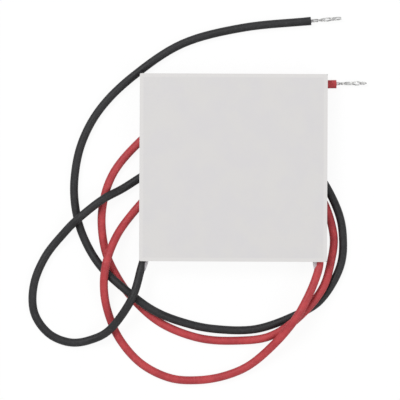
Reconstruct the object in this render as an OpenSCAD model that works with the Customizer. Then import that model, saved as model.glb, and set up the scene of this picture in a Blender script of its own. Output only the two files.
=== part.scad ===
// Thermoelectric cooling module: two square ceramic plates with a serpentine array of
// bismuth telluride pellets soldered between them, an edge seal and two soldered leads.
// Millimetres. Origin at the centre of the cold face, +Z out of the cold face,
// the leads leave at the -Y edge: the black one near -X, the red one near +X.
// The module lies on its own leads, which lie on the table.

/* [Ceramic plates] */
// Width of both plates, along X
plate_w = 40; // [36:0.5:50]
// Length of both plates, along Y
plate_l = 40; // [36:0.5:50]
// Thickness of each plate
plate_t = 0.8; // [0.5:0.05:1.2]
// Size of the snapped-off corners of the plates
corner_cut = 0.3; // [0.1:0.05:0.6]

/* [Pellets and tabs] */
// Side of a square pellet
pellet_w = 1.4; // [1:0.05:1.6]
// Height of a pellet
pellet_h = 1.6; // [1.3:0.05:2.5]
// How far a copper tab stands out beyond its pellets on each side
tab_lip = 0.1; // [0.05:0.01:0.15]
// Thickness of the copper tabs
tab_t = 0.3; // [0.25:0.05:0.5]

/* [Edge seal] */
// Width of the silicone bead between the plates
seal_w = 0.8; // [0.5:0.05:1]
// Free space between the bead and the outermost tabs
seal_gap = 0.4; // [0.2:0.05:0.6]
// Depth to which the outer face of the bead is hollowed
seal_dip = 0.25; // [0.1:0.05:0.4]
// Radius of the silicone smear where it hugs a lead outside the plates
smear_r = 0.5; // [0.3:0.05:0.7]
// How far a smear reaches along its lead, from the edge of the plates
smear_l = 1.7; // [1:0.1:2.5]
// Where the bead begins beside the black lead, in from the plates' corner
black_break = 2.6; // [2:0.1:4]
// Where the bead begins beside the red lead, in from the plates' corner
red_break = 3.1; // [2.5:0.1:4]
// How far the bead stays open for a lead, in from the edge of the plates
break_l = 1.8; // [1.5:0.1:2.5]

/* [Leads] */
// Outer diameter of the insulated leads
lead_d = 1.75; // [1.4:0.05:1.9]
// Diameter of the tinned conductor
core_d = 0.95; // [0.7:0.05:1.1]
// Length of bare conductor at the free end of each lead
tip_l = 6.5; // [4:0.5:10]
// Length of bare conductor inside the module, soldered to its pad
core_l = 2.4; // [2:0.1:2.5]
// Clearance between leads that cross, and between a lead and the plate lying on it
lead_gap = 0.07; // [0.05:0.01:0.15]
// Thickness of the solder that covers the conductor
solder_t = 0.05; // [0.03:0.01:0.1]

/* [Hidden] */
$fn = 48;
eps = 0.01;
grid = 16;                      // cells along each side of the array
tube_sides = 8;
tube_steps = 2;                 // rings for each stretch between two route points

tab_w = pellet_w + 2 * tab_lip;
pitch_x = (plate_w - 2 * (seal_w + seal_gap) - tab_w) / (grid - 1);
pitch_y = (plate_l - 2 * (seal_w + seal_gap) - tab_w) / (grid - 1);

// Heights, from the cold face down
cold_under = -plate_t;
pellet_top = cold_under - tab_t;
pad_top = pellet_top - pellet_h;
hot_top = pad_top - tab_t;
hot_face = hot_top - plate_t;
gap_h = cold_under - hot_top;
gap_mid = (cold_under + hot_top) / 2;

// The leads lie on the table, and the module on them
level_h = lead_d + lead_gap;
table_z = hot_face - level_h;

// The array is one path that snakes up and down its columns. Cells 0 and last are bare:
// the leads are soldered there. Odd cells hold N pellets, even cells P pellets.
last = grid * grid - 1;
function column(cell) = floor(cell / grid);
function row(cell) = column(cell) % 2 == 0 ? cell % grid : grid - 1 - cell % grid;
function cell_at(cell) =
    [(column(cell) - (grid - 1) / 2) * pitch_x, (row(cell) - (grid - 1) / 2) * pitch_y];
function cells_of(col, type) = [for (cell = [col * grid : (col + 1) * grid - 1])
    if (cell % 2 == type && cell > 0 && cell < last) cell];

function two_digits(n) = n < 10 ? str("0", n) : str(n);
function n_name(col) = str("n_pellets_column_", two_digits(col + 1));
function p_name(col) = str("p_pellets_column_", two_digits(col + 1));

// Routes of the leads, as [x, y, level]. At level 0 a lead lies on the table, and each
// level is one lead higher, so a lead at level 1 just passes over a lead at level 0.
function level_of(z) = (z - table_z - lead_d / 2) / level_h;
edge_x = plate_w / 2;
edge_y = plate_l / 2;
black_route = [
    [-edge_x + 1.1, -edge_y + seal_w, level_of(gap_mid)], [-edge_x + 0.45, -edge_y - 1.5, 1.65],
    [-edge_x - 1.5, -edge_y - 8, 2.2], [-26, -34.5, 1.05], [-30.5, -37, 0.2], [-35, -37.5, 0],
    [-39.5, -35.5, 0], [-42.5, -31, 0], [-42.5, -25, 0], [-40, -19, 0], [-36, -14, 0.45],
    [-33, -11, 1.05], [-28, -7, 1.1], [-23.5, -4.5, 0.2], [-18, -1, 0], [-10, 3.5, 0],
    [-2, 6.5, 0], [6, 6.5, 0], [13, 3.5, 0], [18, -1, 0], [22, -8, 0], [23.5, -14, 0],
    [23, -21, 0], [19, -28, 0], [13.5, -31.5, 0], [5, -34.5, 0], [-4, -34.5, 0],
    [-11, -33, 0.25], [-17, -30.5, 1.05], [-22.5, -26.5, 1.1], [-28, -21.5, 0.5],
    [-31.5, -16, 0], [-33.5, -10, 0], [-34, -3, 0], [-32.5, 5, 0], [-28.5, 12.5, 0],
    [-21.5, 19.5, 0], [-11, 26.5, 0], [2, 30, 0], [16.5, 31.5, 0]];
red_route = [
    [edge_x - 1.6, -edge_y + seal_w, level_of(gap_mid)], [edge_x - 1.6, -edge_y - 1, 1.6],
    [edge_x - 2.5, -edge_y - 4, 1.85], [16, -27.5, 2.1], [13.5, -32, 2.2], [9.5, -37, 1.3],
    [4, -42, 0.2], [-1.5, -44.5, 0], [-7.5, -45.5, 0], [-13.5, -45, 0], [-19.5, -42, 0],
    [-24, -37, 0], [-26.5, -31.5, 0.2], [-27.5, -26, 1.1], [-27, -20.5, 1.85], [-25, -15, 1],
    [-22, -10.5, 0.15], [-17.5, -5.5, 0], [-11, -0.5, 0], [-3, 3.5, 0], [6, 3.5, 0],
    [14, -0.5, 0], [19, -6.5, 0], [21.5, -14, 0], [21, -20, 0.2], [19, -26, 1],
    [14, -32, 1.05], [8, -36, 0.4], [1, -37, 0], [-7, -36.5, 0], [-15, -33.5, 0],
    [-21, -28.5, 0], [-25, -23, 0], [-27.5, -17, 0], [-28, -9, 0], [-25.5, -1, 0],
    [-19, 6.5, 0], [-10, 14, 0], [3, 17.5, 0], [22, 18, 0]];

// A smooth curve through the route's points. A point on the table has no slope there.
function in_mm(p) = [p.x, p.y, table_z + lead_d / 2 + p.z * level_h];
function slope(route, i) =
    let (end = len(route) - 1, before = route[max(0, i - 1)], after = route[min(end, i + 1)],
         s = (after - before) / (i == 0 || i == end ? 1 : 2))
    [s.x, s.y, route[i].z == 0 ? 0 : s.z * level_h];
function between(p, q, sp, sq, t) =
    (2 * t^3 - 3 * t^2 + 1) * p + (t^3 - 2 * t^2 + t) * sp
    + (3 * t^2 - 2 * t^3) * q + (t^3 - t^2) * sq;
function curve(route) = concat(
    [for (i = [0 : len(route) - 2], k = [0 : tube_steps - 1])
        between(in_mm(route[i]), in_mm(route[i + 1]), slope(route, i), slope(route, i + 1), k / tube_steps)],
    [in_mm(route[len(route) - 1])]);

function unit(v) = v / norm(v);
function turn_to(dir) = [0, acos(unit(dir).z), atan2(dir.y, dir.x)];
function ring(centre, dir, r) =
    let (side = unit(cross(dir, [0, 0, 1])), up = unit(cross(side, dir)))
    [for (k = [0 : tube_sides - 1])
        centre + r * (cos(360 * k / tube_sides) * side + sin(360 * k / tube_sides) * up)];

black_start = slope(black_route, 0);
black_end = slope(black_route, len(black_route) - 1);
red_start = slope(red_route, 0);
red_end = slope(red_route, len(red_route) - 1);

module tube(route, d) {
    path = curve(route);
    n = len(path);
    points = [for (i = [0 : n - 1]) each ring(path[i],
        i == 0 ? slope(route, 0) : i == n - 1 ? slope(route, len(route) - 1) : path[i + 1] - path[i - 1],
        d / 2)];
    sides = [for (i = [0 : n - 2], k = [0 : tube_sides - 1])
        let (a = i * tube_sides + k, b = i * tube_sides + (k + 1) % tube_sides)
        [a, a + tube_sides, b + tube_sides, b]];
    caps = [[for (k = [0 : tube_sides - 1]) k],
            [for (k = [tube_sides - 1 : -1 : 0]) (n - 1) * tube_sides + k]];
    polyhedron(points, concat(sides, caps));
}

entry_ring = 3;                 // the lead is nearly straight up to this ring
seal_fit = 0.12;                // silicone keeps this far from the lead's flank

module plate(top) {
    w = plate_w / 2;
    l = plate_l / 2;
    c = corner_cut;
    translate([0, 0, top - plate_t]) linear_extrude(plate_t)
        polygon([[c - w, -l], [w - c, -l], [w, c - l], [w, l - c],
                 [w - c, l], [c - w, l], [-w, l - c], [-w, c - l]]);
}

module cold_plate() {
    color("whitesmoke") plate(0);
}

module hot_plate() {
    color("whitesmoke") plate(hot_top);
}

// Copper tab from one cell of the path to the next, with its underside at z
module tab(cell, z) {
    a = cell_at(cell);
    b = cell_at(cell + 1);
    size = [abs(b.x - a.x) + tab_w, abs(b.y - a.y) + tab_w, tab_t];
    translate([(a.x + b.x) / 2 - size.x / 2, (a.y + b.y) / 2 - size.y / 2, z]) cube(size);
}

module cold_plate_tabs() {
    color("peru") for (cell = [1 : 2 : last - 2]) tab(cell, pellet_top);
}

module hot_plate_tabs() {
    color("peru") for (cell = [2 : 2 : last - 3]) tab(cell, hot_top);
}

module black_terminal_pad() {
    color("peru") tab(0, hot_top);
}

module red_terminal_pad() {
    color("peru") tab(last - 1, hot_top);
}

module pellets(cells) {
    for (cell = cells) translate([cell_at(cell).x - pellet_w / 2, cell_at(cell).y - pellet_w / 2, pad_top])
        cube([pellet_w, pellet_w, pellet_h]);
}

module n_pellets(col) {
    color("dimgray") pellets(cells_of(col, 1));
}

module p_pellets(col) {
    color("slategray") pellets(cells_of(col, 0));
}

// Where the bead gives way to a lead and its silicone, as [from x, to x]
black_pocket = [-edge_x - eps, -edge_x + black_break];
red_pocket = [edge_x - red_break, edge_x + eps];

module edge_seal() {
    half_gap = gap_h / 2;
    dip_r = (half_gap^2 + seal_dip^2) / (2 * seal_dip);
    color("gainsboro") difference() {
        translate([0, 0, hot_top]) linear_extrude(gap_h) difference() {
            square([plate_w, plate_l], center = true);
            square([plate_w - 2 * seal_w, plate_l - 2 * seal_w], center = true);
        }
        for (side = [-1, 1]) {
            translate([side * (edge_x + dip_r - seal_dip), 0, gap_mid]) rotate([90, 0, 0])
                cylinder(r = dip_r, h = plate_l + 2, center = true);
            translate([0, side * (edge_y + dip_r - seal_dip), gap_mid]) rotate([0, 90, 0])
                cylinder(r = dip_r, h = plate_w + 2, center = true);
        }
        for (pocket = [black_pocket, red_pocket])
            translate([pocket[0], -edge_y - eps, hot_top - eps])
                cube([pocket[1] - pocket[0], break_l, gap_h + 2 * eps]);
    }
}

// Silicone packed beside a lead in the gap and drawn out along it to a blunt tip.
// It fills from the end of the bead at bead_x up to the flank of the lead.
module exit_seal(bead_x, route) {
    lead_x = route[0].x;
    side = sign(bead_x - lead_x);
    flank_x = lead_x + side * lead_d / 4;
    path = curve(route);
    along = path[entry_ring] - path[0];
    difference() {
        hull() {
            translate([min(bead_x, flank_x), -edge_y + seal_dip / 2, hot_top])
                cube([abs(bead_x - flank_x), seal_w - seal_dip / 2, gap_h]);
            translate([lead_x + side * (lead_d / 2 - smear_r / 2), -edge_y - smear_l, gap_mid])
                sphere(r = smear_r, $fn = 16);
        }
        core(path[0] - along, along, 3 * norm(along), lead_d + 2 * seal_fit);
    }
}

module black_exit_seal() {
    color("lightgray") exit_seal(black_pocket[1], black_route);
}

module red_exit_seal() {
    color("lightgray") exit_seal(red_pocket[0], red_route);
}

module black_lead() {
    color("black") tube(black_route, lead_d);
}

module red_lead() {
    color("firebrick") tube(red_route, lead_d);
}

// Straight conductor from a point along a direction
module core(start, dir, l, d) {
    translate(start) rotate(turn_to(dir)) cylinder(d = d, h = l);
}

module black_soldered_end() {
    color("silver") core(in_mm(black_route[0]), -black_start, core_l, core_d);
}

module red_soldered_end() {
    color("silver") core(in_mm(red_route[0]), -red_start, core_l, core_d);
}

bare_l = 0.3;                   // conductor left bare on each side of its solder

// Mound of solder from the pad up over the conductor, which runs through it
module solder_joint(cell, start, dir) {
    pad = cell_at(cell);
    l = core_l - 2 * bare_l;
    middle = start + unit(dir) * core_l / 2;
    color("lightgray") difference() {
        hull() {
            translate([pad.x - tab_w / 2, middle.y - l / 2, pad_top]) cube([tab_w, l, eps]);
            core(start + unit(dir) * bare_l, dir, l, core_d + 2 * solder_t, $fn = 24);
        }
        core(start, dir, core_l, core_d);
    }
}

module black_solder_joint() {
    solder_joint(0, in_mm(black_route[0]), -black_start);
}

module red_solder_joint() {
    solder_joint(last, in_mm(red_route[0]), -red_start);
}

module black_tinned_tip() {
    color("silver") core(in_mm(black_route[len(black_route) - 1]), black_end, tip_l, core_d);
}

module red_tinned_tip() {
    color("silver") core(in_mm(red_route[len(red_route) - 1]), red_end, tip_l, core_d);
}

cold_plate();
hot_plate();
cold_plate_tabs();
hot_plate_tabs();
black_terminal_pad();
red_terminal_pad();
edge_seal();
black_exit_seal();
red_exit_seal();
black_lead();
red_lead();
black_soldered_end();
red_soldered_end();
black_solder_joint();
red_solder_joint();
black_tinned_tip();
red_tinned_tip();
for (col = [0 : grid - 1]) n_pellets(col);
for (col = [0 : grid - 1]) p_pellets(col);
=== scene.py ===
# %% [markdown]
# # A thermoelectric cooling module
#
# The real thing is a flat sandwich. Two thin squares of white alumina hold 254 small blocks
# of bismuth telluride, all soldered into one long electrical path. A bead of silicone keeps
# damp out round the edge, and a black and a red lead bring the current in at two corners.
# Here the module lies on a white table, on its own leads, and is seen from straight above.
#
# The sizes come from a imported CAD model, which is loaded first and never changed. Blender
# adds what the CAD model leaves out: round leads, twisted strands, lumpy silicone, and the
# finish of each surface.

import math

import bmesh
import bpy
from mathutils import Matrix, Vector, geometry, noise


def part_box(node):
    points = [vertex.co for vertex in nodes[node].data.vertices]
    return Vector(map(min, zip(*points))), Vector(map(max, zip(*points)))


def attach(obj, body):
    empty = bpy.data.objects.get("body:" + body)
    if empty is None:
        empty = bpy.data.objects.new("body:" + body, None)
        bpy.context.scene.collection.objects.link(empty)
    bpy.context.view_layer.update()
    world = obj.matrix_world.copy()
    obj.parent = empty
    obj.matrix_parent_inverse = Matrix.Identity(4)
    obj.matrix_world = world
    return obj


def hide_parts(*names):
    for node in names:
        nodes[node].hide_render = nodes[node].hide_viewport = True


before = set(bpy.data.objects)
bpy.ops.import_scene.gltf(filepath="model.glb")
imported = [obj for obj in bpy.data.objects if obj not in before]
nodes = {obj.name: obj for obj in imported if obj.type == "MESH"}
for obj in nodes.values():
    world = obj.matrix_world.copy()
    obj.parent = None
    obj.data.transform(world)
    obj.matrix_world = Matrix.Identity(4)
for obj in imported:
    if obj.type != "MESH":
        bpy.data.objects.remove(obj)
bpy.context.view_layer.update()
print("CAD nodes:", len(nodes))

# %% [markdown]
# ## Read the main sizes from the frame
#
# Every place in this lesson is worked out from the boxes of the CAD nodes, so the pieces fit
# however the model is resized. The cold face is the top of the stack, at height 0, and the
# leads lie on the table below it.

# %% Sizes of the stack and of the leads
MM = 0.001
cold_low, cold_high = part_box("cold_plate")
hot_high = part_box("hot_plate")[1]
half_w = cold_high.x
half_l = cold_high.y
gap_top = cold_low.z
gap_bottom = hot_high.z
gap_middle = (gap_top + gap_bottom) / 2
table_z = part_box("red_lead")[0].z
lead_d = 1.75 * MM
lead_gap = 0.07 * MM  # left between two leads that cross
bead_w = 0.8 * MM
bead_dip = 0.25 * MM  # how far the bead's face is hollowed
print("plates", round(2 * half_w / MM, 2), "mm wide")
print("gap", round((gap_top - gap_bottom) / MM, 2), "mm")

# %% [markdown]
# ## Camera
#
# A long lens from far above gives a view with almost no perspective, so the plate shows as a
# true square and none of its sides can be seen. The focal length follows from three
# numbers: the width of the sensor, the distance, and the width of the view at the plate.

# %% Camera straight above
camera_height = 800 * MM
view_width = 85.12 * MM
view_centre = Vector((-7.075, -6.928)) * MM
view_turn = math.radians(0.27)
camera_data = bpy.data.cameras.new("overhead_camera")
camera_data.lens = camera_data.sensor_width * camera_height / view_width
camera = bpy.data.objects.new("overhead_camera", camera_data)
camera.location = (view_centre.x, view_centre.y, camera_height)
camera.rotation_euler = (0, 0, view_turn)
bpy.context.scene.collection.objects.link(camera)
bpy.context.scene.camera = camera
print("lens", round(camera_data.lens, 1), "mm")

# %% [markdown]
# ## Routes of the leads
#
# A lead is a limp wire, about 290 mm long, that was rolled up in its bag and has kept its
# loops. Its route is a list of points: x and y in millimetres, and a level.
# At level 0 a lead lies on the table, and each level is one lead higher, so a lead at
# level 1 just passes over one at level 0.
#
# A smooth curve through the points is made of Bezier stretches. At each point the curve
# runs parallel to the line between its two neighbours, and on the table it runs level.

# %% The two routes, from the module to the bare end
level_h = lead_d + lead_gap
exit_level = (gap_middle - table_z - lead_d / 2) / level_h
edge_x = half_w / MM
edge_y = half_l / MM
black_route = [
    (-edge_x + 1.1, -edge_y + bead_w / MM, exit_level),
    (-edge_x + 0.45, -edge_y - 1.5, 1.65),
    (-edge_x - 1.5, -edge_y - 8, 2.2), (-26, -34.5, 1.05), (-30.5, -37, 0.2), (-35, -37.5, 0),
    (-39.5, -35.5, 0), (-42.5, -31, 0), (-42.5, -25, 0), (-40, -19, 0), (-36, -14, 0.45),
    (-33, -11, 1.05), (-28, -7, 1.1), (-23.5, -4.5, 0.2), (-18, -1, 0), (-10, 3.5, 0),
    (-2, 6.5, 0), (6, 6.5, 0), (13, 3.5, 0), (18, -1, 0), (22, -8, 0), (23.5, -14, 0),
    (23, -21, 0), (19, -28, 0), (13.5, -31.5, 0), (5, -34.5, 0), (-4, -34.5, 0),
    (-11, -33, 0.25), (-17, -30.5, 1.05), (-22.5, -26.5, 1.1), (-28, -21.5, 0.5),
    (-31.5, -16, 0), (-33.5, -10, 0), (-34, -3, 0), (-32.5, 5, 0), (-28.5, 12.5, 0),
    (-21.5, 19.5, 0), (-11, 26.5, 0), (2, 30, 0), (16.5, 31.5, 0)]
red_route = [
    (edge_x - 1.6, -edge_y + bead_w / MM, exit_level), (edge_x - 1.6, -edge_y - 1, 1.6),
    (edge_x - 2.5, -edge_y - 4, 1.85), (16, -27.5, 2.1), (13.5, -32, 2.2), (9.5, -37, 1.3),
    (4, -42, 0.2), (-1.5, -44.5, 0), (-7.5, -45.5, 0), (-13.5, -45, 0), (-19.5, -42, 0),
    (-24, -37, 0), (-26.5, -31.5, 0.2), (-27.5, -26, 1.1), (-27, -20.5, 1.85), (-25, -15, 1),
    (-22, -10.5, 0.15), (-17.5, -5.5, 0), (-11, -0.5, 0), (-3, 3.5, 0), (6, 3.5, 0),
    (14, -0.5, 0), (19, -6.5, 0), (21.5, -14, 0), (21, -20, 0.2), (19, -26, 1),
    (14, -32, 1.05), (8, -36, 0.4), (1, -37, 0), (-7, -36.5, 0), (-15, -33.5, 0),
    (-21, -28.5, 0), (-25, -23, 0), (-27.5, -17, 0), (-28, -9, 0), (-25.5, -1, 0),
    (-19, 6.5, 0), (-10, 14, 0), (3, 17.5, 0), (22, 18, 0)]

# %% From a route to a dense path
def lead_path(route, steps=8):
    """Points in metres along a smooth curve through the points of a route."""
    lowest = table_z + lead_d / 2
    points = [Vector((x * MM, y * MM, lowest + level * level_h)) for x, y, level in route]
    last = len(points) - 1
    slopes = []
    for i, point in enumerate(points):
        slope = points[min(last, i + 1)] - points[max(0, i - 1)]
        if 0 < i < last:
            slope /= 2
        if route[i][2] == 0:
            slope.z = 0
        slopes.append(slope)
    path = []
    for i in range(last):
        handles = points[i] + slopes[i] / 3, points[i + 1] - slopes[i + 1] / 3
        path += geometry.interpolate_bezier(points[i], *handles, points[i + 1], steps + 1)[:-1]
    return path + [points[last]]


def path_length(path):
    return sum((b - a).length for a, b in zip(path, path[1:]))


def lead_at(path, y):
    """Point of a lead's centre line at a given y, near its exit."""
    for before, after in zip(path, path[1:]):
        if after.y <= y <= before.y:
            return before.lerp(after, (y - before.y) / (after.y - before.y))
    return path[0]


black_path = lead_path(black_route)
red_path = lead_path(red_route)
print("black lead", round(path_length(black_path) / MM, 1), "mm")
print("red lead", round(path_length(red_path) / MM, 1), "mm")

# %% [markdown]
# ## Drawing a wire
#
# Real insulation is extruded through a round die, and a mesh can be made the same way: a
# circle is extruded one ring at a time, and each new ring is moved and turned along the
# path. `bmesh.ops.extrude_edge_only` gives the new ring and the band of faces behind it. A
# curve with a bevel would be shorter to write, but a mesh lets the cut end have its bore
# and lets each ring have a radius of its own.

# %% Sweep a circle along a path
def draw_wire(bm, path, radii, sides):
    """Adds a closed round wire along the path, with one radius for each of its points."""
    last = len(path) - 1
    ahead = [(path[min(last, i + 1)] - path[max(0, i - 1)]).normalized() for i in range(last + 1)]
    facing = Vector((0, 0, 1)).rotation_difference(ahead[0]).to_matrix().to_4x4()
    start = Matrix.Translation(path[0]) @ facing
    ring = bmesh.ops.create_circle(bm, segments=sides, radius=radii[0], matrix=start)["verts"]
    edges = list({edge for vert in ring for edge in vert.link_edges})
    first_edges = edges
    for i in range(1, last + 1):
        made = bmesh.ops.extrude_edge_only(bm, edges=edges)["geom"]
        ring = [item for item in made if isinstance(item, bmesh.types.BMVert)]
        edges = [item for item in made if isinstance(item, bmesh.types.BMEdge)
                 and item.verts[0] in ring and item.verts[1] in ring]
        turn = ahead[i - 1].rotation_difference(ahead[i]).to_matrix().to_4x4()
        grow = Matrix.Scale(radii[i] / radii[i - 1], 4)
        place = Matrix.Translation(path[i]) @ turn @ grow @ Matrix.Translation(-path[i - 1])
        bmesh.ops.transform(bm, matrix=place, verts=ring)
    caps = bmesh.ops.edgeloop_fill(bm, edges=first_edges + edges)["faces"]
    for face in bm.faces:
        face.smooth = True
    far_cap = max(caps, key=lambda face: -(face.calc_center_median() - path[last]).length)
    return far_cap


def finish_piece(name, bm, material, stands_for=()):
    """Turns a bmesh into an object of its own that rides on the module."""
    bmesh.ops.recalc_face_normals(bm, faces=bm.faces)
    mesh = bpy.data.meshes.new(name)
    bm.to_mesh(mesh)
    bm.free()
    mesh.materials.append(material)
    piece = bpy.data.objects.new(name, mesh)
    bpy.context.scene.collection.objects.link(piece)
    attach(piece, "root")
    if stands_for:
        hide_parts(*stands_for)
    print(name, len(mesh.polygons), "faces")
    return piece


# %% [markdown]
# ## Node helpers
#
# A material is a small network. These helpers keep each network short to write: one makes
# a node and sets its inputs, joining those that are given a socket, and one starts a node
# group with named sockets. A group holds an effect that several materials share, and puts
# out only numbers, colours or normals. The shader itself stays in each material.

# %% Make nodes, groups and materials
def fill_inputs(tree, node, inputs):
    """Links the inputs whose value is a socket and sets the others. i0 is the first input."""
    for key, value in inputs.items():
        which = int(key[1:]) if key[1:].isdigit() else key.replace("_", " ")
        socket = node.inputs[which]
        if isinstance(value, bpy.types.NodeSocket):
            tree.links.new(value, socket)
        else:
            socket.default_value = value


def add(tree, kind, **inputs):
    """Adds a node. Its own settings, such as an operation, are given apart from its inputs."""
    settings = inputs.pop("settings", {})
    node = tree.nodes.new(kind)
    for key, value in settings.items():
        setattr(node, key, value)
    fill_inputs(tree, node, inputs)
    return node


def math_node(tree, operation, a, b=0.0, clamp=False):
    settings = {"operation": operation, "use_clamp": clamp}
    return add(tree, "ShaderNodeMath", i0=a, i1=b, settings=settings).outputs[0]


def mix_colours(tree, factor, a, b, blend="MIX"):
    settings = {"data_type": "RGBA", "blend_type": blend}
    node = add(tree, "ShaderNodeMix", i0=factor, i6=a, i7=b, settings=settings)
    return node.outputs[2]


def ramp(tree, value, low, high, to_low=0.0, to_high=1.0):
    """Maps low..high to to_low..to_high, smoothly and with ends that hold."""
    settings = {"interpolation_type": "SMOOTHSTEP"}
    node = add(tree, "ShaderNodeMapRange", Value=value, From_Min=low, From_Max=high,
               To_Min=to_low, To_Max=to_high, settings=settings)
    return node.outputs["Result"]


def start_group(name, inputs, outputs):
    """A node group with named sockets. Each is (name, type) or (name, type, value)."""
    tree = bpy.data.node_groups.new(name, "ShaderNodeTree")
    for way, sockets in (("INPUT", inputs), ("OUTPUT", outputs)):
        for title, kind, *value in sockets:
            socket = tree.interface.new_socket(
                name=title, in_out=way, socket_type="NodeSocket" + kind)
            if value:
                socket.default_value = value[0]
    given = tree.nodes.new("NodeGroupInput").outputs
    out = tree.nodes.new("NodeGroupOutput").inputs
    return tree, given, out


def use_group(tree, group, **inputs):
    node = tree.nodes.new("ShaderNodeGroup")
    node.node_tree = group
    fill_inputs(tree, node, inputs)
    return node.outputs


def start_material(name):
    """A new material: its tree, its Principled shader and its Object coordinates."""
    material = bpy.data.materials.new(name)
    material.use_nodes = True
    tree = material.node_tree
    shader = tree.nodes["Principled BSDF"]
    place = tree.nodes.new("ShaderNodeTexCoord").outputs["Object"]
    return material, tree, shader, place


def finish_surface(tree, shader, speck, mask, roughness, strength, depth):
    """Joins a grain to a shader: its tone, its bumps, and a roughness that follows the mask."""
    bump = add(tree, "ShaderNodeBump", Strength=strength, Distance=depth,
               Height=speck["Height"])
    tree.links.new(speck["Color"], shader.inputs["Base Color"])
    tree.links.new(ramp(tree, mask, 0.0, 1.0, *roughness), shader.inputs["Roughness"])
    tree.links.new(bump.outputs[0], shader.inputs["Normal"])


def colour(red, green, blue):
    """A colour given as it shows on a screen, 0 to 255, as linear RGBA."""
    linear = []
    for shown in (red / 255, green / 255, blue / 255):
        linear.append(shown / 12.92 if shown <= 0.04045 else ((shown + 0.055) / 1.055) ** 2.4)
    return (*linear, 1.0)


# %% [markdown]
# ## Effects that the materials share
#
# *Patches* is a slow change of tone, a few millimetres across: no ceramic plate or vinyl
# lead is one even colour. It gives the tone, and the mask that the roughness can follow.
# *Grain* is the fine texture that breaks up a highlight. It gives a tone and a height for
# bumps.

# %% Patches and grain as node groups
tree, given, out = start_group(
    "patches",
    [("Place", "Vector"), ("Size", "Float", 4 * MM), ("Light", "Color"), ("Dark", "Color")],
    [("Color", "Color"), ("Mask", "Float")])
per_metre = math_node(tree, "DIVIDE", 1.0, given["Size"])
cloud = add(tree, "ShaderNodeTexNoise", Vector=given["Place"], Scale=per_metre,
            Detail=3.0, Roughness=0.55)
mask = ramp(tree, cloud.outputs[0], 0.35, 0.65)
tree.links.new(mix_colours(tree, mask, given["Dark"], given["Light"]), out["Color"])
tree.links.new(mask, out["Mask"])
patches = tree

tree, given, out = start_group(
    "grain",
    [("Place", "Vector"), ("Size", "Float", 0.2 * MM), ("Color", "Color"),
     ("Contrast", "Float", 0.1)],
    [("Color", "Color"), ("Height", "Float")])
per_metre = math_node(tree, "DIVIDE", 1.0, given["Size"])
fine = add(tree, "ShaderNodeTexNoise", Vector=given["Place"], Scale=per_metre,
           Detail=4.0, Roughness=0.65)
centred = math_node(tree, "SUBTRACT", fine.outputs[0], 0.5)
shift = math_node(tree, "MULTIPLY", centred, given["Contrast"])
gain = math_node(tree, "ADD", shift, 1.0)
grey = add(tree, "ShaderNodeCombineColor", Red=gain, Green=gain, Blue=gain).outputs[0]
tree.links.new(mix_colours(tree, 1.0, given["Color"], grey, "MULTIPLY"), out["Color"])
tree.links.new(fine.outputs[0], out["Height"])
grain = tree
print("shared effects:", patches.name, grain.name)

# %% [markdown]
# ## Alumina
#
# The plates are white alumina, fired and then scored with a laser and snapped apart. The
# face is matt and very even, with a faint warm and cool cloudiness. Along the border the
# colour is a little lighter. The snapped sides show a row of laser notches and a rough
# break. On the real plate the notches end half-way down. Here both cover the whole side,
# which is less than a millimetre high.

# %% Material of the plates
notch_pitch = 0.2 * MM
wave_factor = 20  # a Wave texture repeats every 2 pi / (wave_factor * Scale)
border_full = 0.6 * MM  # the lighter border, from an edge to here
border_end = 0.95 * MM  # where it has faded out
side_relief = 8.0  # height of the snapped sides against the grain


def make_alumina():
    material, tree, shader, place = start_material("alumina")
    cloud = use_group(tree, patches, Place=place, Size=6 * MM, Light=colour(220, 218, 217),
                      Dark=colour(218, 216, 217))
    speck = use_group(tree, grain, Place=place, Size=0.25 * MM, Color=cloud["Color"],
                      Contrast=0.04)
    part = add(tree, "ShaderNodeSeparateXYZ", Vector=place).outputs
    from_side = math_node(tree, "SUBTRACT", half_w, math_node(tree, "ABSOLUTE", part[0]))
    from_end = math_node(tree, "SUBTRACT", half_l, math_node(tree, "ABSOLUTE", part[1]))
    inset = math_node(tree, "MINIMUM", from_side, from_end)
    border = ramp(tree, inset, border_full, border_end, 1.0, 0.0)
    lighter = mix_colours(tree, border, speck["Color"], colour(224, 222, 221))
    along = math_node(tree, "ADD", part[0], part[1])
    row = add(tree, "ShaderNodeCombineXYZ", X=along).outputs[0]
    notches = add(tree, "ShaderNodeTexWave", Vector=row,
                  Scale=2 * math.pi / (wave_factor * notch_pitch)).outputs[1]
    facing = add(tree, "ShaderNodeNewGeometry").outputs["Normal"]
    up = add(tree, "ShaderNodeSeparateXYZ", Vector=facing).outputs[2]
    side = math_node(tree, "LESS_THAN", math_node(tree, "ABSOLUTE", up), 0.5)
    rough = add(tree, "ShaderNodeTexNoise", Vector=place, Scale=1 / (0.12 * MM),
                Detail=5.0).outputs[0]
    broken = math_node(tree, "MULTIPLY", math_node(tree, "ADD", notches, rough), side)
    relief = math_node(tree, "MULTIPLY", broken, side_relief)
    height = math_node(tree, "ADD", relief, speck["Height"])
    bump = add(tree, "ShaderNodeBump", Strength=0.4, Distance=0.006 * MM, Height=height)
    tree.links.new(lighter, shader.inputs["Base Color"])
    tree.links.new(ramp(tree, speck["Height"], 0.3, 0.7, 0.5, 0.64), shader.inputs["Roughness"])
    tree.links.new(bump.outputs[0], shader.inputs["Normal"])
    shader.inputs["IOR"].default_value = 1.6
    return material


alumina = make_alumina()
for name in ("cold_plate", "hot_plate"):
    nodes[name].data.materials[0] = alumina
print("plates:", alumina.name)
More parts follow.
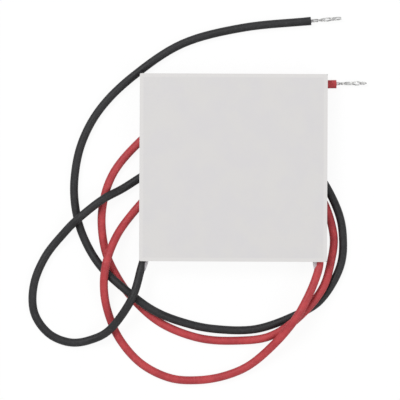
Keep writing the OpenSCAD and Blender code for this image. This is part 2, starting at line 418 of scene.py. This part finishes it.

# %% [markdown]
# ## Vinyl insulation
#
# The leads are coated in soft vinyl. It is coloured right through and has a satin skin with a
# slight mottle and pale flecks, partly dust and partly painted sheen. Both colours use the
# same network with other tones. Its highlight is weak, so the black stays black under an
# even white sky.

# %% Material of the leads
def make_insulation(name, light, dark, dust_and_sheen):
    """Satin vinyl. The third colour is for pale flecks: partly dust and partly painted sheen."""
    material, tree, shader, place = start_material(name)
    cloud = use_group(tree, patches, Place=place, Size=2.6 * MM, Light=light, Dark=dark)
    # Pale flecks: partly dust on the vinyl, partly painted sheen.
    dust_and_sheen_noise = add(tree, "ShaderNodeTexNoise", Vector=place, Scale=1 / (0.5 * MM),
               Detail=6.0, Roughness=0.7)
    dust_and_sheen_mask = ramp(tree, dust_and_sheen_noise.outputs[0], 0.5, 0.7, 0.0, 0.4)
    skin = mix_colours(tree, dust_and_sheen_mask, cloud["Color"], dust_and_sheen)
    speck = use_group(tree, grain, Place=place, Size=0.16 * MM, Color=skin, Contrast=0.35)
    finish_surface(tree, shader, speck, cloud["Mask"], (0.5, 0.62), 0.35, 0.02 * MM)
    shader.inputs["Specular IOR Level"].default_value = 0.3
    return material


# The third colour of each lead is its pale flecks: dust and painted sheen.
black_vinyl = make_insulation(
    "black_insulation", colour(40, 40, 42), colour(24, 24, 26), colour(72, 72, 75))
red_vinyl = make_insulation(
    "red_insulation", colour(195, 72, 76), colour(178, 60, 66), colour(204, 106, 110))
print("insulation:", black_vinyl.name, red_vinyl.name)

# %% [markdown]
# ## The insulated leads
#
# The insulation was nipped square at the far end and pulled off, which leaves it a little
# wider there, with the bore showing round the strands. `inset_region` makes the wall of
# that bore, and moving the inner face back along the lead gives it depth.

# %% Sweep both leads
lead_wall = 0.38 * MM
bore_depth = 0.5 * MM
flare = 1.03
unevenness = 0.012
noise_step = 0.35
lead_sides = 20


def make_lead(name, path, material, node):
    """An insulated lead whose thickness wavers a little, with a bored end."""
    radii = []
    for i in range(len(path)):
        waver = noise.noise(Vector((i * noise_step, 0, len(name))))
        radii.append(lead_d / 2 * (1 + unevenness * waver))
    radii[-1] *= flare
    bm = bmesh.new()
    far_cap = draw_wire(bm, path, radii, lead_sides)
    rim = list(far_cap.edges)
    bmesh.ops.inset_region(bm, faces=[far_cap], thickness=lead_wall)
    backward = (path[-2] - path[-1]).normalized()
    wall = bmesh.ops.extrude_face_region(bm, geom=[far_cap])["geom"]
    bore = [item for item in wall if isinstance(item, bmesh.types.BMVert)]
    bmesh.ops.translate(bm, vec=backward * bore_depth, verts=bore)
    bmesh.ops.delete(bm, geom=[far_cap], context="FACES_ONLY")
    for edge in rim:
        edge.smooth = False
    return finish_piece(name, bm, material, [node])


black_lead = make_lead(
    "black_lead_insulation", black_path, black_vinyl, "black_lead")
red_lead = make_lead(
    "red_lead_insulation", red_path, red_vinyl, "red_lead")

# %% [markdown]
# ## Tinned strands
#
# Under the insulation is a bundle of fine copper strands. Their bare ends were twisted by
# hand and dipped in tin. Here they are two plies of three strands each. Each ply winds round
# the other by a list of rows: how far along the bare end, how far the ply is from the
# middle, and how many turns it has made. So the plies can lie side by side, cross quickly,
# or stand apart and leave an eye, as they do in a loosely twisted end.

# %% Material of the strands
def make_tin():
    material, tree, shader, place = start_material("tinned_copper")
    cloud = use_group(tree, patches, Place=place, Size=0.9 * MM, Light=colour(200, 200, 199),
                      Dark=colour(152, 152, 152))
    speck = use_group(tree, grain, Place=place, Size=0.08 * MM, Color=cloud["Color"],
                      Contrast=0.15)
    finish_surface(tree, shader, speck, cloud["Mask"], (0.5, 0.35), 0.3, 0.01 * MM)
    shader.inputs["Metallic"].default_value = 0.7
    return material


tin = make_tin()
print("strands:", tin.name)

# %% Twist the strands of one bare end
tip_l = 6.5 * MM
strand_r = 0.09 * MM
lay_r = 0.085 * MM
plies = 2
strands_per_ply = 3
lay_turns = 4
strand_rings = 64
strand_sides = 8
closing_from = 0.88  # share of the bare end after which its strands close up
cut_taper = 0.6  # what is left of a strand's radius at the cut


def read_rows(share, rows):
    """Distance and turns of a ply at a share of the bare length, eased from row to row."""
    for before, after in zip(rows, rows[1:]):
        if share <= after[0]:
            t = (share - before[0]) / (after[0] - before[0])
            ease = 3 * t ** 2 - 2 * t ** 3
            return [a + (b - a) * ease for a, b in zip(before[1:], after[1:])]
    return rows[-1][1:]


def make_strands(name, path, rows, shift, blunt, node):
    """Twists the plies of one bare end.

    Rows are (share of the bare length, distance in mm, turns). Shift moves the bundle
    sideways. Blunt is how much of the spread of the strands is left at the cut.
    """
    forward = (path[-1] - path[-2]).normalized()
    across = forward.cross(Vector((0, 0, 1))).normalized()
    up = across.cross(forward)
    start = path[-1] - forward * bore_depth
    bm = bmesh.new()
    for ply in range(plies):
        for strand in range(strands_per_ply):
            centres = []
            for i in range(strand_rings + 1):
                share = i / strand_rings
                distance, turns = read_rows(share, rows)
                wind = 2 * math.pi * (turns + ply / plies)
                lay = 2 * math.pi * (lay_turns * share + strand / strands_per_ply)
                closed = max(0.0, share - closing_from) / (1 - closing_from)
                closing = 1 - (1 - blunt) * closed
                side = shift + distance * MM * math.cos(wind) + lay_r * closing * math.cos(lay)
                rise = distance * MM * math.sin(wind) + lay_r * closing * math.sin(lay)
                forth = forward * (tip_l + bore_depth) * share
                centres.append(start + forth + across * side + up * rise)
            radii = [strand_r] * strand_rings + [strand_r * cut_taper]
            draw_wire(bm, centres, radii, strand_sides)
    return finish_piece(name, bm, tin, [node])


black_strands = make_strands(
    "black_lead_strands", black_path,
    [(0, 0.16, 0), (0.24, 0.2, 0), (0.34, 0.2, 0.3), (0.44, 0.2, 0.5), (0.58, 0.27, 0.5),
     (0.7, 0.19, 0.5), (0.9, 0.21, 0.5), (1, 0.2, 0.6)], 0, 0.9, "black_tinned_tip")
red_strands = make_strands(
    "red_lead_strands", red_path,
    [(0, 0.18, 0), (0.12, 0.2, 0), (0.28, 0.12, 0.5), (0.38, 0.19, 0.5), (0.58, 0.18, 0.5),
     (0.7, 0.32, 0.5), (0.83, 0.12, 0.5), (0.9, 0.18, 0.5), (1, 0.0, 0.5)], -0.12 * MM, 0.2,
    "red_tinned_tip")

# %% Show both leads
print("cords:", black_lead.name, red_lead.name)

# %% [markdown]
# ## Silicone
#
# The gap between the plates is filled from the side with milky white silicone. It is
# pressed in with a nozzle and wiped with a finger, so its face is hollow and uneven, and
# where a lead comes out a smear of it is drawn along the lead.

# %% Material of the silicone
def make_silicone(name, light, dark, alpha):
    """Milky silicone. Alpha is how much of what lies behind it is hidden."""
    material, tree, shader, place = start_material(name)
    cloud = use_group(tree, patches, Place=place, Size=1.2 * MM, Light=light, Dark=dark)
    speck = use_group(tree, grain, Place=place, Size=0.3 * MM, Color=cloud["Color"],
                      Contrast=0.08)
    finish_surface(tree, shader, speck, cloud["Mask"], (0.34, 0.46), 0.3, 0.05 * MM)
    shader.inputs["IOR"].default_value = 1.41
    shader.inputs["Alpha"].default_value = alpha
    return material


bead_silicone = make_silicone(
    "bead_silicone", colour(226, 226, 224), colour(210, 210, 209), alpha=0.96)
thin_silicone = make_silicone(
    "thin_silicone", colour(238, 234, 238), colour(222, 218, 223), alpha=0.68)
print("silicone:", bead_silicone.name, thin_silicone.name)

# %% The bead round the four sides
bead_rows = 8
bead_cuts = 90
ripple = 0.0045  # unevenness of the face, as a share of its distance from the middle
slow_wave, quick_wave = 260, 900  # waves of the unevenness, per metre
still_depth = 0.1  # share of the bead's width, from the inside, that stays plain


def make_bead():
    """Spins a hollow-faced profile in four steps: a square ring with mitred corners."""
    inner = half_w - bead_w
    bm = bmesh.new()
    corner = math.sqrt(2)
    outline = [(inner, gap_bottom), (inner, gap_top)]
    for i in range(bead_rows + 1):
        share = i / bead_rows
        hollow = bead_dip * (1 - (2 * share - 1) ** 2)
        outline.append((half_w - hollow, gap_top + (gap_bottom - gap_top) * share))
    verts = [bm.verts.new((x * corner, 0, z)) for x, z in outline]
    loop = [bm.edges.new((a, b)) for a, b in zip(verts, verts[1:] + verts[:1])]
    bmesh.ops.rotate(bm, verts=verts, matrix=Matrix.Rotation(math.radians(45), 3, "Z"))
    bmesh.ops.spin(bm, geom=verts + loop, axis=(0, 0, 1), cent=(0, 0, 0), angle=2 * math.pi,
                   steps=4, use_merge=True)
    bmesh.ops.remove_doubles(bm, verts=bm.verts, dist=0.001 * MM)
    runs = [edge for edge in bm.edges if edge.calc_length() > half_w]
    bmesh.ops.subdivide_edges(bm, edges=runs, cuts=bead_cuts, use_grid_fill=True)
    for vert in bm.verts:
        out = max(abs(vert.co.x), abs(vert.co.y))
        depth = (out - inner) / (half_w - inner)
        if depth > still_depth:
            wave = noise.noise(vert.co * slow_wave) + 0.5 * noise.noise(vert.co * quick_wave)
            between = 1 - (2 * (vert.co.z - gap_middle) / (gap_top - gap_bottom)) ** 2
            vert.co.xy *= 1 + ripple * wave * between * min(1, depth)
    for face in bm.faces:
        face.smooth = True
    return finish_piece("silicone_bead", bm, bead_silicone, ["edge_seal"])


make_bead()

# %% Smears where the leads come out
smear_half_h = 1.4 * MM
smear_bond = 0.05 * MM
tip_narrowing = 0.3
tip_flattening = 0.4
lump_depth = 0.1
lump_scale = 2.2


def make_smear(name, path, offset, end_offset, half_width, reach, node):
    """A lump stuck to the plates' sides and to one flank of a lead, drawn out to a tip.

    The offsets are its distance from the lead's centre line, at the plates and at the tip.
    All four sizes are in mm.
    """
    bm = bmesh.new()
    bmesh.ops.create_icosphere(bm, subdivisions=5, radius=1.0)
    for vert in bm.verts:
        across, along, up = vert.co.x, -vert.co.y, vert.co.z
        out = max(0.0, along)
        y = -half_l - along * (reach * MM if along > 0 else smear_bond)
        lump = noise.noise(vert.co * lump_scale)
        slim = (1 - tip_narrowing * out) * (1 + lump_depth * lump)
        aside = (offset + (end_offset - offset) * out) * MM
        middle = lead_at(path, y)
        vert.co = (middle.x + aside + across * half_width * MM * slim, y,
                   middle.z + up * smear_half_h * slim * (1 - tip_flattening * out))
    for face in bm.faces:
        face.smooth = True
    return finish_piece(name, bm, thin_silicone, [node])


make_smear("black_lead_smear", black_path, 0.7, 0.92, 0.44, 2.2, "black_exit_seal")
make_smear("red_lead_smear", red_path, -0.92, -0.84, 0.52, 1.7, "red_exit_seal")

# %% [markdown]
# ## Inside the sandwich
#
# The copper tabs, the pellets and the solder can hardly be seen through the silicone, but
# they are there, and each has its own metal.

# %% Metals of the inner pieces
roughness_spread = 0.12
grain_per_patch = 8


def make_metal(name, light, dark, size, roughness):
    material, tree, shader, place = start_material(name)
    cloud = use_group(tree, patches, Place=place, Size=size, Light=light, Dark=dark)
    speck = use_group(tree, grain, Place=place, Size=size / grain_per_patch,
                      Color=cloud["Color"], Contrast=0.25)
    spread = (roughness, roughness + roughness_spread)
    finish_surface(tree, shader, speck, cloud["Mask"], spread, 0.3, 0.01 * MM)
    shader.inputs["Metallic"].default_value = 1.0
    return material


copper = make_metal("copper", colour(222, 150, 112), colour(186, 112, 78), 1.2 * MM, 0.3)
telluride = make_metal(
    "bismuth_telluride", colour(142, 143, 150), colour(96, 97, 104), 0.4 * MM, 0.38)
solder = make_metal("solder", colour(205, 205, 208), colour(160, 160, 164), 0.5 * MM, 0.28)
for name, node in nodes.items():
    if "pellets" in name:
        node.data.materials[0] = telluride
    elif "tabs" in name or "terminal_pad" in name:
        node.data.materials[0] = copper
    elif "solder_joint" in name:
        node.data.materials[0] = solder
    elif "soldered_end" in name:
        node.data.materials[0] = tin
print("inner metals:", copper.name, telluride.name, solder.name)

# %% [markdown]
# ## Table and light
#
# The table is pale, and the camera sees it as pure white: part of its shader is a plain
# emission that only camera, glossy and transmission rays meet. The rest is an ordinary
# diffuse surface, so it still takes the object's shadow and throws soft light back.

# %% White table
table_half_w = 1.5
table_drop = 0.01 * MM
glow_share = 0.88
glow_strength = 1.05


def background_rays(tree):
    """1 for camera, glossy and transmission rays, and 0 for the light that falls on things."""
    rays = tree.nodes.new("ShaderNodeLightPath").outputs
    seen = math_node(tree, "ADD", rays["Is Camera Ray"], rays["Is Glossy Ray"])
    return math_node(tree, "ADD", seen, rays["Is Transmission Ray"], clamp=True)


def make_table():
    bm = bmesh.new()
    bmesh.ops.create_grid(bm, x_segments=1, y_segments=1, size=table_half_w)
    bmesh.ops.translate(bm, vec=(0, 0, table_z - table_drop), verts=bm.verts)
    mesh = bpy.data.meshes.new("table")
    bm.to_mesh(mesh)
    bm.free()
    table = bpy.data.objects.new("table", mesh)
    bpy.context.scene.collection.objects.link(table)
    material, tree, shader, place = start_material("white_table")
    speck = use_group(tree, grain, Place=place, Size=2 * MM, Color=colour(220, 220, 220),
                      Contrast=0.02)
    tree.links.new(speck["Color"], shader.inputs["Base Color"])
    shader.inputs["Roughness"].default_value = 0.9
    shader.inputs["Specular IOR Level"].default_value = 0.1
    glow = add(tree, "ShaderNodeEmission", Color=(1, 1, 1, 1), Strength=glow_strength)
    share = math_node(tree, "MULTIPLY", background_rays(tree), glow_share)
    blend = add(tree, "ShaderNodeMixShader", Fac=share)
    tree.links.new(shader.outputs[0], blend.inputs[1])
    tree.links.new(glow.outputs[0], blend.inputs[2])
    tree.links.new(blend.outputs[0], tree.nodes["Material Output"].inputs["Surface"])
    mesh.materials.append(material)
    return table


table = make_table()
print("table:", table.name, "at", round(table_z / MM, 2), "mm")

# %% [markdown]
# ## Lamps
#
# One wide lamp above and to the left models the round leads, and a weaker one fills from
# the right. The world adds an even light, and is plain white where the camera sees it.

# %% Lamps and world
lamp_size = 0.6
room_light = 0.38


def add_lamp(name, place, watts):
    """A round lamp of lamp_size that looks at the middle of the cold face."""
    data = bpy.data.lights.new(name, "AREA")
    data.shape = "DISK"
    data.size = lamp_size
    data.energy = watts
    lamp = bpy.data.objects.new(name, data)
    lamp.location = place
    lamp.rotation_euler = (-Vector(place)).to_track_quat("-Z", "Y").to_euler()
    bpy.context.scene.collection.objects.link(lamp)
    return lamp


key_lamp = add_lamp("key_lamp", (-0.5, 0.5, 1.0), watts=7.6)
fill_lamp = add_lamp("fill_lamp", (0.7, -0.4, 0.9), watts=3.4)

world = bpy.data.worlds.new("white_room")
world.use_nodes = True
bpy.context.scene.world = world
tree = world.node_tree
strength = ramp(tree, background_rays(tree), 0.0, 1.0, room_light, 1.0)
background = tree.nodes["Background"]
background.inputs["Color"].default_value = (1, 1, 1, 1)
tree.links.new(strength, background.inputs["Strength"])

bpy.context.scene.view_settings.view_transform = "Standard"
print("lamps:", key_lamp.name, fill_lamp.name)
